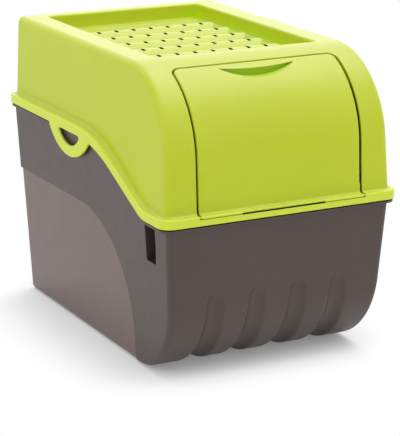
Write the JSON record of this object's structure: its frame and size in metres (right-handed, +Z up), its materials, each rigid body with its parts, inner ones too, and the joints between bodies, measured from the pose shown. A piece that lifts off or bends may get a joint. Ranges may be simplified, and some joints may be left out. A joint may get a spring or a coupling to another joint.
{
  "type": "potato storage bin",
  "caption": "Kitchen storage tub with a curved-front lift-off hood lid, a front flap that swings open, a sunk vented tray on top and side lifting loops.",
  "frame": {"origin": "on the floor, at the middle of the overall width and depth", "axes": "+Z up, +Y towards the rear, so the flap faces -Y; +X to the right of someone who faces the flap"},
  "size_m": [0.24, 0.356, 0.2835],
  "materials": {
    "taupe_plastic": "satin moulded plastic with a fine texture",
    "lime_plastic": "satin moulded plastic"
  },
  "bodies": {
    "tub": {"bin": "taupe_plastic"},
    "lid": {"lid": "lime_plastic"},
    "flap": {"flap": "lime_plastic"}
  },
  "joints": [
    {"name": "lid_lift", "type": "slide", "parent": "tub", "child": "lid", "axis": [0, 0, 1], "range_m": [0, 0.12]},
    {"name": "flap_hinge", "type": "hinge", "parent": "lid", "child": "flap", "pos_m": [0, -0.1765, 0.1569], "axis": [1, 0, 0], "range_deg": [0, 175]}
  ]
}
